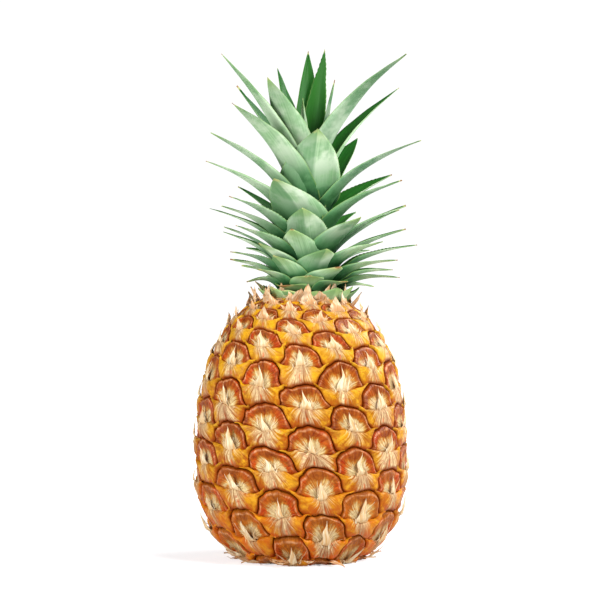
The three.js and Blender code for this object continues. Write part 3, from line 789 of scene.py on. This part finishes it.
# Compass angle from the front, reach of the tip, height of the tip, width, bow of the midline, bend of the tip.
LEAVES = [
    (110, 38, 141, 11, 0.1, 2),
    (-32, 21, 142.5, 21, 0.1, -3),
    (158, 34, 142.5, 17, 0.16, 0),
    (-82, 32, 144, 14, 0.2, 0),
    (42, 27, 144.5, 19, 0.1, 3),
    (-140, 36, 144.5, 17, 0.16, 0),
    (86, 48, 146, 13, 0.1, 0),
    (3, 20.5, 148, 22, 0.1, 0),
    (116, 50, 149.5, 12, 0.1, 0),
    (178, 42, 150.5, 19, 0.15, 0),
    (-62, 30, 151, 17, 0.12, 0),
    (-106, 36, 152, 12, 0.12, 0),
    (26, 24, 152.5, 21, 0.08, 7),
    (71, 49, 155.5, 17, 0.1, 0),
    (-92, 40.5, 155.5, 12, 0.11, 0),
    (-38, 25, 158, 21, 0.08, -3),
    (-75, 41.5, 159.5, 16, 0.12, 0),
    (138, 50, 159.5, 18, 0.12, 0),
    (-136, 47, 160.5, 18, 0.12, 0),
    (14, 24, 161.5, 25, 0.08, 4),
    (99, 58, 163, 12, 0.08, 0),
    (-52, 31, 164.5, 21, 0.08, -1),
    (61, 44, 165, 20, 0.11, 0),
    (-106, 46, 169.5, 13, 0.08, 0),
    (-170, 50, 169.5, 19, 0.12, 0),
    (84, 51, 171.5, 14, 0.08, 0),
    (-14, 24, 172, 24, 0.08, -2.5),
    (-89, 43.5, 172.5, 13, 0.09, 0),
    (-57, 44, 173.5, 20, 0.12, 0),
    (44, 36, 178, 24, 0.09, 3),
    (150, 52, 179.5, 19, 0.12, 0),
    (112, 52, 181, 15, 0.07, 0),
    (-97, 51.5, 182, 16, 0.1, 0),
    (-3, 24, 182.5, 27, 0.09, -1.5),
    (90, 51, 183.5, 16, 0.08, 0),
    (-75, 46, 183.5, 18, 0.12, 0),
    (-61, 46, 188.5, 20, 0.13, 0),
    (-125, 45, 193, 17, 0.1, 0),
    (70, 51.5, 196.5, 21, 0.12, 0),
    (-3, 25, 197.5, 33, 0.1, -16),
    (124, 54, 199.5, 28, 0.1, 0),
    (178, 48, 201.5, 20, 0.12, 0),
    (-74, 54.5, 206.5, 21, 0.11, 0),
    (76, 60, 217, 19, 0.12, 0),
    (140, 45, 219, 33, 0.08, 3),
    (-70, 53, 221, 21, 0.11, 0),
    (8, 22, 223, 38, 0.08, 2),
    (-160, 42, 225.5, 20, 0.1, 0),
    (-52, 49, 236, 26, 0.12, 0),
    (-30, 5, 239, 9, 0.02, 0),
    (-140, 30, 239.5, 15, 0.07, 0),
    (130, 17, 242, 15, 0.04, 0),
    (117, 54, 245.5, 22, 0.1, 0),
    (-112, 40, 246, 24, 0.07, 0),
    (72, 14, 248.5, 9, 0.05, 3),
    (-40, 31, 249, 28, 0.09, -1),
    (-142, 26, 255.5, 18, 0.05, 0),
    (58, 59, 260.5, 23, 0.13, 0),
    (-62, 50, 261, 20, 0.08, 0),
    (-174, 25, 265, 22, 0.05, -3),
    (150, 18, 265.5, 21, 0.04, 0),
]


# Short leaves at the crown's foot, which lie on the fruit's shoulder.
FOOT_LEAVES = [
    (-80, 26, 141.0, 19, 0, 0),
    (-52, 22.5, 142.0, 22, 0, -2),
    (-24, 20.0, 140.5, 24, 0, -3),
    (8, 19.5, 140.0, 25, 0, 2),
    (36, 21.5, 141.5, 24, 0, 3),
    (64, 25, 142.0, 20, 0, 2),
    (94, 27, 141.0, 18, 0, 0),
    (126, 24, 142.0, 21, 0, 0),
    (154, 23, 141.0, 23, 0, 0),
    (-176, 23, 142.0, 23, 0, 0),
    (-144, 23, 141.0, 22, 0, 0),
    (-112, 25, 142.0, 20, 0, 0),
]
FOOT_LEAF_ROOT = (15.4, 130.5)


def stem_radius(height):
    share = np.clip((height - STEM_FOOT) / STEM_HEIGHT, 0, 1)
    return mix(STEM_TOP_RADIUS, STEM_FOOT_RADIUS, (1 - share) ** 2)


def leaf_curve(leaf):
    """The three control points of a leaf's midline: reach from the stem's axis, and height."""
    _, reach, tip, _, bow, _ = leaf
    if leaf in FOOT_LEAVES:
        root, end = np.array(FOOT_LEAF_ROOT), np.array([reach, tip], float)
        return root, mix(root, end, 0.4) + (2.2, 0.8), end
    rise = max(tip - STEM_FOOT, 0)
    climb = 52 * (1 - math.exp(-((rise / 78) ** 1.8)))
    root_height = STEM_FOOT + 0.8 + climb
    root = np.array([stem_radius(root_height) + LEAF_GAP + 0.85, root_height])
    end = np.array([reach, tip], float)
    chord = end - root
    knee = root + 0.4 * chord + 2 * bow * np.array([-chord[1], chord[0]])
    knee[0] = max(knee[0], root[0] + 0.3)
    return root, knee, end


def make_leaves(material):
    rows, columns = 56, 11
    points, places, sides, ages, quads = [], [], [], [], []
    total = 0
    for number, leaf in enumerate(LEAVES + FOOT_LEAVES):
        angle, reach, tip, width, bow, bend = leaf
        draws = np.random.default_rng(300 + number).uniform(0, 1, 6)
        seed = 3.7 * number
        root, knee, end = leaf_curve(leaf)
        turn = math.radians(angle)
        outward = np.array([math.sin(turn), -math.cos(turn), 0])
        across = np.array([math.cos(turn), math.sin(turn), 0])

        def midline(t):
            t = np.asarray(t)[..., None]
            flat = root * (1 - t) ** 2 + knee * 2 * t * (1 - t) + end * t**2
            return outward * flat[..., :1] + np.array([0, 0, 1]) * flat[..., 1:] + across * bend * t**2

        t = 1 - (1 - np.linspace(0, 1, rows)) ** 1.25
        centre = midline(t)
        along = midline(np.minimum(1, t + 0.01)) - midline(np.maximum(0, t - 0.01))
        along /= np.linalg.norm(along, axis=1, keepdims=True)
        inner = np.cross(along, across)
        inner /= np.linalg.norm(inner, axis=1, keepdims=True)
        front = float(smooth(70, 30, abs(angle)))
        half = (width / 2) * (1 - t ** mix(1.9, 3.2, front)) ** 0.95
        channel = mix(0.45, 0.72, front) * width
        curl = np.maximum(mix(root[0], channel, smooth(0, 0.4, t)), half / 1.35)
        thickness = mix(BASE_THICKNESS, TIP_THICKNESS, t) * mix(0.25, 1.0, smooth(1.0, 0.9, t))
        length = np.concatenate([[0], np.cumsum(np.linalg.norm(np.diff(centre, axis=0), axis=1))])
        share = np.linspace(-1, 1, columns)[None, :]
        edge = np.abs(share) ** 8
        toothed = (draws[0] > 0.8) * smooth(0.25, 0.5, t) * smooth(1.0, 0.9, t)
        spines = 0.35 * (np.arange(rows) % 2 * toothed)[:, None]
        wave = 0.35 * lumps(length[:, None] / 9 + 0 * share, np.sign(share) * 3 + 0 * t[:, None], seed)
        spread = half[:, None] * share + np.sign(share) * edge * (spines + wave * smooth(0, 0.2, 1 - t)[:, None])
        bowed = spread / curl[:, None]
        first = total
        for side in (-1, 1):
            body = side * (1 - 0.75 * share**2) * thickness[:, None] / 2
            radius = curl[:, None] - body
            sway = 0.5 * lumps(length[:, None] / 26, share * 1.5, seed + 1) * smooth(0.1, 0.5, t)[:, None]
            lift = curl[:, None] - radius * np.cos(bowed) + sway
            made = (
                centre[:, None, :]
                + across * (radius * np.sin(bowed))[..., None]
                + inner[:, None, :] * lift[..., None]
            )
            made[..., 0] += STEM_SIDE
            points.append(made.reshape(-1, 3))
            faces = grid_faces(rows, columns, total)
            quads.append(faces if side == -1 else faces[:, ::-1])
            total += rows * columns
            down = np.broadcast_to(length[:, None], made.shape[:2])
            places.append(np.stack([spread, down, np.full_like(down, seed)], axis=-1).reshape(-1, 3))
            where = np.broadcast_to(length[-1] - length[:, None], made.shape[:2])
            is_inner = np.full_like(where, 0.0 if side == -1 else 1.0)
            closeness = np.broadcast_to(np.abs(share), made.shape[:2])
            sides.append(np.stack([is_inner, where, closeness], axis=-1).reshape(-1, 3))
            # Along the leaf for its painted shade, across it for the painted shade of one half, and the leaf's random
            # tone.
            bare = down / min(length[-1], 55.0)
            fold = np.broadcast_to(share, made.shape[:2])
            tone = 0.95 if width >= 36 else draws[1]
            ages.append(np.stack([bare, fold, np.full_like(down, tone)], axis=-1).reshape(-1, 3))
        for column in (0, columns - 1):
            low = first + np.arange(rows - 1) * columns + column
            high = low + rows * columns
            strip = np.stack([low, high, high + columns, low + columns], axis=-1)
            quads.append(strip if column else strip[:, ::-1])
    attributes = {
        "leaf_place": np.concatenate(places),
        "leaf_side": np.concatenate(sides),
        "leaf_shade_and_tone": np.concatenate(ages),
    }
    return make_mesh("crown_leaves", np.concatenate(points), np.concatenate(quads), attributes, material)


def make_stem(material):
    heights = np.concatenate([[129.5, 132.0, 135.0], STEM_FOOT + STEM_HEIGHT * np.linspace(0, 1, 24)])
    radii = np.concatenate([[16.5, 16.8, 15.6], stem_radius(heights[3:])])
    heights = np.append(heights, STEM_FOOT + STEM_HEIGHT + 3)
    radii = np.append(radii, 0.05)
    sides = 40
    turn = np.linspace(0, 2 * math.pi, sides, endpoint=False)
    knobbly = 1 + 0.03 * lumps(4 * turn[None, :], heights[:, None] / 5, 2.0)
    radius = radii[:, None] * knobbly
    side = STEM_SIDE * smooth(128.0, 140.0, heights)[:, None]
    points = np.stack([radius * np.sin(turn) + side, -radius * np.cos(turn), heights[:, None] + 0 * turn], axis=-1)
    place = np.stack([radius * turn, np.broadcast_to(heights[:, None], radius.shape), 0 * radius], axis=-1)
    quads = grid_faces(len(heights), sides, closed=True)
    return make_mesh("crown_stem", points, quads, {"leaf_place": place}, material)


def leaf_material():
    """A crown leaf: pale and waxy on its outer face, deep green inside, with a dry tip."""
    material, shader, surface = new_material("crown leaf")
    across, along, seed = shader.attribute("leaf_place")
    inside, to_tip, margin = shader.attribute("leaf_side")
    place = shader.vector(across, along, seed)
    lines = shader.group(FIBRES, across=across, along=along, seed=seed, fineness=1.9, length=60.0)[0]
    ribs = shader.group(FIBRES, across=across, along=along, seed=seed, fineness=0.3, length=80.0)[0]
    bloom = shader.group(MOTTLE, place=place, spread=9.0)[0]
    bare, fold, leaf_tone = shader.attribute("leaf_shade_and_tone")

    outer = shader.blend(lines, paint(138, 184, 132), paint(176, 214, 164))
    outer = shader.blend(shader.between(0.55, 0.1, leaf_tone), outer, paint(104, 152, 110))
    pale = shader.math("MULTIPLY", bloom, shader.scaled(leaf_tone, 0.35, 0.95))
    outer = shader.blend(pale, outer, paint(226, 243, 214))
    # Painted shade: the outer face darkens towards the leaf's foot, where the leaves in front cover it.
    shaded = shader.math("ADD", bare, shader.scaled(bloom, 0.05, -0.05))
    outer = shader.blend(shader.between(0.68, 0.26, shaded), outer, paint(80, 140, 84))
    outer = shader.blend(shader.between(0.42, 0.14, shaded), outer, paint(12, 62, 26))
    far = shader.math("MULTIPLY", shader.between(0.85, 1.35, bare), shader.scaled(leaf_tone, 0.5, 0.5))
    outer = shader.blend(far, outer, paint(52, 114, 50))
    outer = shader.blend(shader.between(10.0, 0.0, to_tip), outer, paint(150, 186, 112))
    # Painted shade: one half of the leaf, on one side of its midrib, is darker.
    painted_crease_shade = shader.math("MULTIPLY", shader.between(0.12, -0.02, fold), shader.between(0.6, 0.9, leaf_tone))
    outer = shader.blend(shader.math("MULTIPLY", painted_crease_shade, 0.6), outer, paint(80, 136, 84))
    inner = shader.blend(lines, paint(8, 70, 12), paint(32, 108, 28))
    inner = shader.blend(shader.math("MULTIPLY", bloom, 0.4), inner, paint(14, 86, 34))
    inner = shader.blend(shader.math("MULTIPLY", leaf_tone, 0.4), inner, paint(58, 132, 34))
    colour = shader.blend(inside, outer, inner)
    rim = shader.between(0.93, 1.0, margin)
    colour = shader.blend(shader.math("MULTIPLY", rim, 0.4), colour, paint(150, 180, 96))
    dry = shader.math("ADD", to_tip, shader.scaled(bloom, 1.5, -1.5))
    colour = shader.blend(shader.between(2.0, 0.5, dry), colour, paint(190, 196, 128))
    colour = shader.blend(shader.between(0.5, -0.2, dry), colour, paint(158, 118, 72))
    connect(
        shader,
        surface,
        base_color=colour,
        roughness=shader.scaled(inside, 0.6, 0.55),
        normal=shader.bump(ribs, 0.00015, 0.5),
    )
    surface.inputs["Specular IOR Level"].default_value = 0.25
    return material


def stem_material():
    """The crown's stem: pale, with darker lengthwise streaks."""
    material, shader, surface = new_material("crown stem")
    across, along, seed = shader.attribute("leaf_place")
    lines = shader.group(FIBRES, across=across, along=along, seed=seed, fineness=0.8, length=14.0)[0]
    colour = shader.blend(lines, paint(96, 84, 44), paint(150, 140, 84))
    connect(shader, surface, base_color=colour, roughness=0.7, normal=shader.bump(lines, 0.0004, 0.6))
    return material


# Building it

discs = make_discs(disc_material())
bracts = make_bracts(bract_material())
dry_tissue = beak_material()
beaks = make_beaks(dry_tissue)
scraps = make_scraps(dry_tissue)
scar = make_scar(scar_material())
leaves = make_leaves(leaf_material())
stem = make_stem(stem_material())

for piece in (discs, bracts, beaks, scraps, scar):
    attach(piece, "root")
for piece in (leaves, stem):
    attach(piece, "root")
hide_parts("fruit")
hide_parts("fruit")
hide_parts("crown")

# Floor, light and camera


def make_floor():
    mesh = bpy.data.meshes.new("floor")
    sides, reach = 96, 9.0
    turn = np.linspace(0, 2 * math.pi, sides, endpoint=False)
    corners = [(reach * math.sin(a), reach * math.cos(a), 0.0) for a in turn]
    mesh.from_pydata(corners, [], [tuple(reversed(range(sides)))])
    floor = bpy.data.objects.new("floor", mesh)
    bpy.context.collection.objects.link(floor)
    material, shader, surface = new_material("studio floor")
    place = shader.node("ShaderNodeTexCoord").outputs["Object"]
    grain = shader.noise(place, 60.0, 2.0)
    colour = shader.blend(grain, (0.52, 0.52, 0.53, 1), (0.54, 0.54, 0.55, 1))
    away = shader.node("ShaderNodeVectorMath", {0: place}, operation="LENGTH").outputs["Value"]
    glow = shader.blend(shader.between(0.12, 0.4, away), (0.66, 0.66, 0.67, 1), (1.0, 1.0, 1.0, 1))
    is_seen = shader.node("ShaderNodeLightPath").outputs["Is Camera Ray"]
    glow = shader.blend(is_seen, (0.25, 0.25, 0.25, 1), glow)
    connect(shader, surface, base_color=colour, roughness=0.6, emission_color=glow)
    surface.inputs["Specular IOR Level"].default_value = 0.0
    surface.inputs["Emission Strength"].default_value = 1.0
    mesh.materials.append(material)


def soft_light(name, place, aim, size, watts, colour=(1, 1, 1)):
    data = bpy.data.lights.new(name, "AREA")
    data.shape = "DISK"
    data.size = size
    data.energy = watts
    data.color = colour
    lamp = bpy.data.objects.new(name, data)
    bpy.context.collection.objects.link(lamp)
    lamp.location = place
    direction = np.array(aim) - np.array(place)
    lamp.rotation_euler = (
        math.atan2(math.hypot(direction[0], direction[1]), -direction[2]),
        0,
        math.atan2(direction[0], -direction[1]) + math.pi,
    )
    return lamp


def make_camera():
    data = bpy.data.cameras.new("camera")
    data.sensor_width = 36
    data.lens = 36 * 1.45 / 0.312
    camera = bpy.data.objects.new("camera", data)
    bpy.context.collection.objects.link(camera)
    distance, elevation = 1.45, math.radians(2.5)
    target = (-0.0005, 0.0, 0.1344)
    camera.location = (target[0], -distance * math.cos(elevation), target[2] + distance * math.sin(elevation))
    camera.rotation_euler = (math.pi / 2 - elevation, 0, 0)
    bpy.context.scene.camera = camera


make_floor()
make_camera()
soft_light("key", (0.75, -0.8, 0.95), (0, 0, 0.13), 0.45, 18.5)
soft_light("fill", (-1.2, -0.8, 0.6), (0, 0, 0.13), 0.7, 17.0)
soft_light("rim", (1.0, 0.7, 0.7), (0, 0, 0.17), 0.6, 16.0)


def make_world():
    """A white studio: the backdrop is pure white, and what it gives the object is softer."""
    world = bpy.data.worlds.new("studio")
    world.use_nodes = True
    world.node_tree.nodes.clear()
    shader = Shader(world.node_tree)
    seen = shader.node("ShaderNodeBackground", {0: (1, 1, 1, 1), 1: 1.05})
    cast = shader.node("ShaderNodeBackground", {0: (1, 1, 1, 1), 1: 0.18})
    is_seen = shader.node("ShaderNodeLightPath").outputs["Is Camera Ray"]
    both = shader.node("ShaderNodeMixShader", {0: is_seen, 1: cast.outputs[0], 2: seen.outputs[0]})
    shader.node("ShaderNodeOutputWorld", {0: both.outputs[0]})
    bpy.context.scene.world = world


make_world()
bpy.context.scene.view_settings.view_transform = "Standard"
